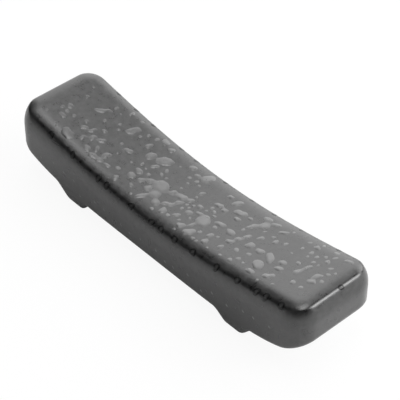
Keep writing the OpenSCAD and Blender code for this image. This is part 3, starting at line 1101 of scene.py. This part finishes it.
@dataclass(frozen=True)
class Studio:
    """The floor, the lamps and the dim room round them."""

    floor_gap: float = 0.02 * MM
    floor_inner: float = 0.2
    floor_flat: float = 2.0
    floor_reach: float = 3.0
    flat_rings: int = 10
    wall_rings: int = 14
    floor_sectors: int = 64
    wall_height: float = 0.35
    floor_colour: Colour = grey(0.86)
    white_share: float = 0.93
    gloss_share: float = 0.08
    room_low: float = 0.45
    room_high: float = 0.05
    room_turn: float = 0.22
    softboxes: tuple[Softbox, ...] = (
        Softbox("left_back_softbox", azimuth=138.0, elevation=20.0, distance=0.8, wide=0.6, high=0.7,
                brightness=2.1, roll=28.0),
        Softbox("upper_fill", azimuth=137.0, elevation=54.0, distance=0.8, wide=0.5, high=0.28,
                brightness=0.8, roll=28.0),
        Softbox("right_back_softbox", azimuth=38.0, elevation=34.0, distance=0.6, wide=0.46, high=0.54,
                brightness=4.9),
        Softbox("back_softbox", azimuth=94.0, elevation=27.0, distance=0.8, wide=0.5, high=0.5,
                brightness=3.4),
        Softbox("right_back_core", azimuth=38.0, elevation=34.0, distance=0.58, wide=0.1, high=0.1,
                brightness=8.0),
        Softbox("top_strip", azimuth=138.0, elevation=88.0, distance=0.8, wide=0.24, high=0.8,
                brightness=4.5),
    )

    def build_floor(self) -> bpy.types.Object:
        """Makes the floor: a level disc whose far border curves up, a profile carried round the Z axis.

        Returns:
            The floor.
        """
        flat = np.linspace(self.floor_inner, self.floor_flat, self.flat_rings)
        reach = np.concatenate([flat, np.linspace(self.floor_flat, self.floor_reach, self.wall_rings)[1:]])
        run = self.floor_reach - self.floor_flat
        lift = self.wall_height * smooth_step((reach - self.floor_flat) / run)
        angle = np.linspace(0.0, 2.0 * math.pi, self.floor_sectors, endpoint=False)
        ring = np.stack(np.broadcast_arrays(reach[:, None] * np.cos(angle), reach[:, None] * np.sin(angle),
                                            lift[:, None] - self.floor_gap), axis=-1)
        points = np.concatenate([[[0.0, 0.0, -self.floor_gap]], ring.reshape(-1, 3)])
        number = 1 + np.arange(ring.shape[0] * ring.shape[1]).reshape(ring.shape[:2])
        fan = np.stack([0 * number[0], number[0], np.roll(number[0], -1)], axis=-1)
        faces = ring_faces(number).tolist() + fan.tolist()
        floor = add_mesh("studio_floor", points, faces, self.floor_finish())
        return floor

    def floor_finish(self) -> bpy.types.Material:
        """A pale matte floor, mostly white to the camera and slightly so in a gloss, that shows the shadow.

        Returns:
            The material.
        """
        made = bpy.data.materials.new("pale_floor")
        made.use_nodes = True
        sheet = NodeSheet(made.node_tree)
        path = sheet.add("ShaderNodeLightPath").outputs
        direct = sheet.calculate("MAXIMUM", path["Is Camera Ray"], path["Is Transmission Ray"])
        seen = sheet.calculate("MULTIPLY", direct, self.white_share)
        gloss = sheet.calculate("MULTIPLY", path["Is Glossy Ray"], self.gloss_share)
        share = sheet.calculate("MAXIMUM", seen, gloss)
        matte = sheet.add("ShaderNodeBsdfDiffuse", {"Color": self.floor_colour + OPAQUE}).outputs[0]
        white = sheet.add("ShaderNodeEmission", {"Color": grey(1.0) + OPAQUE, "Strength": 1.0}).outputs[0]
        mixed = sheet.add("ShaderNodeMixShader", {0: share, 1: matte, 2: white})
        sheet.add("ShaderNodeOutputMaterial", {"Surface": mixed.outputs[0]})
        return made

    def build_room(self) -> None:
        """Makes the dim grey room that the lamps stand in, paler near the horizon than overhead."""
        world = bpy.data.worlds.new("dim_room")
        world.use_nodes = True
        sheet = NodeSheet(world.node_tree)
        way = sheet.add("ShaderNodeTexCoord").outputs["Generated"]
        height = sheet.add("ShaderNodeSeparateXYZ", {"Vector": way}).outputs["Z"]
        tone = sheet.add("ShaderNodeMapRange", {
            "Value": height, "From Max": self.room_turn,
            "To Min": self.room_low, "To Max": self.room_high}).outputs["Result"]
        air = sheet.add("ShaderNodeBackground", {"Color": tone, "Strength": 1.0})
        sheet.add("ShaderNodeOutputWorld", {"Surface": air.outputs[0]})
        bpy.context.scene.world = world

    def build(self) -> None:
        """Makes everything round the object except the camera."""
        self.build_floor()
        self.build_room()
        for box in self.softboxes:
            box.build()
        bpy.context.scene.view_settings.view_transform = "Standard"


@dataclass(frozen=True)
class PhotoCamera:
    """The camera at the photo's angle: turned about Z, tilted, then slid in its own plane, with no roll."""

    azimuth: float = 47.75
    elevation: float = 42.1
    distance: float = 307.0 * MM
    slide_right: float = 2.5 * MM
    slide_up: float = 8.04 * MM
    focal_pixels: float = 1586.0
    frame_pixels: float = 400.0
    sensor_width: float = 36.0
    near_clip: float = 10.0 * MM

    def build(self) -> bpy.types.Object:
        """Makes the camera and gives it to the scene.

        Returns:
            The camera.
        """
        turn, lift = math.radians(self.azimuth), math.radians(self.elevation)
        right = Vector((math.cos(turn), math.sin(turn), 0.0))
        back = Vector((math.sin(turn) * math.cos(lift), -math.cos(turn) * math.cos(lift), math.sin(lift)))
        up = back.cross(right)
        data = bpy.data.cameras.new("photo_camera")
        data.sensor_width = self.sensor_width
        data.lens = self.focal_pixels / self.frame_pixels * self.sensor_width
        data.clip_start = self.near_clip
        camera = bpy.data.objects.new("photo_camera", data)
        camera.matrix_world = Matrix((right, up, back)).transposed().to_4x4()
        camera.location = back * self.distance + right * self.slide_right + up * self.slide_up
        bpy.context.scene.collection.objects.link(camera)
        bpy.context.scene.camera = camera
        return camera


BARE_CLAY = FiredFinish(
    name="bare_stoneware", dark=(0.34, 0.27, 0.20), light=(0.52, 0.44, 0.35), speck=(0.10, 0.07, 0.05),
    rough_low=0.78, rough_high=0.95, rough_by=SkinValue.RIPPLE, ripple_scale=2600.0, ripple_depth=0.03 * MM,
    mottle_scale=320.0, speck_scale=1400.0, speck_dot=0.3, speck_share=0.25)
BLACK_GLAZE = FiredFinish(
    name="satin_black_glaze", dark=grey(0.0), light=grey(0.026), speck=grey(0.04),
    rough_low=0.26, rough_high=0.34, ior=1.75, ripple_scale=3000.0, ripple_depth=0.009 * MM,
    mottle_scale=800.0, speck_scale=1100.0, speck_dot=0.2, speck_share=0.12)
GREY_GLAZE = FiredFinish(
    name="grey_drop_glaze", dark=grey(0.02), light=grey(0.122), speck=grey(0.13),
    rough_low=0.26, rough_high=0.34, ior=1.75, ripple_scale=2400.0, ripple_depth=0.004 * MM,
    mottle_scale=700.0, speck_scale=2600.0, speck_dot=0.2, speck_share=0.1, reads_tone=True)
# Light colour of the beads' middles: partly grey glaze, partly a painted highlight.
BEAD_GLAZE = replace(
    GREY_GLAZE, name="dark_bead_glaze", dark=grey(0.002), light=grey(0.06), speck=grey(0.06),
    rough_low=0.24, rough_high=0.3, ior=1.42, ripple_depth=0.002 * MM)
SMALL_DROPS = DomeSet("grey_drops", "saddle_drops", Carrier.SADDLE, slope=0.115, swell=1.15)
EDGE_BEADS = DomeSet("edge_bead_rows", "edge_beads", Carrier.SADDLE, slope=0.07, swell=1.15, on_edge=True)
SIDE_SPECKS = DomeSet("side_speck_rows", "side_specks", Carrier.WALLS, slope=0.16, swell=1.15)


def main() -> None:
    """Builds the camera, the bar, its drops and the studio."""
    logging.basicConfig(level=logging.INFO, format="%(name)s: %(message)s")
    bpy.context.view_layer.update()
    PhotoCamera().build()
    low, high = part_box("black_glaze")
    shape = BarShape(half_length=(high.x - low.x) / 2, half_width=(high.y - low.y) / 2)
    skin, specks = FiredSkin().build(), FiredSpecks().build()
    bare_clay = BARE_CLAY.material(skin, specks)
    black_glaze = BLACK_GLAZE.material(skin, specks)
    grey_glaze = GREY_GLAZE.material(skin, specks)
    bead_glaze = BEAD_GLAZE.material(skin, specks)
    bar = BlackBar(shape)
    bar.build_clay(bare_clay)
    bar.build_coat(black_glaze)
    drops = GreyDrops(shape)
    drops.build_blotches(grey_glaze)
    drops.build_domes(SMALL_DROPS, grey_glaze)
    drops.build_domes(EDGE_BEADS, bead_glaze)
    drops.build_domes(SIDE_SPECKS, grey_glaze)
    Studio().build()


if __name__ == "__main__":
    main()
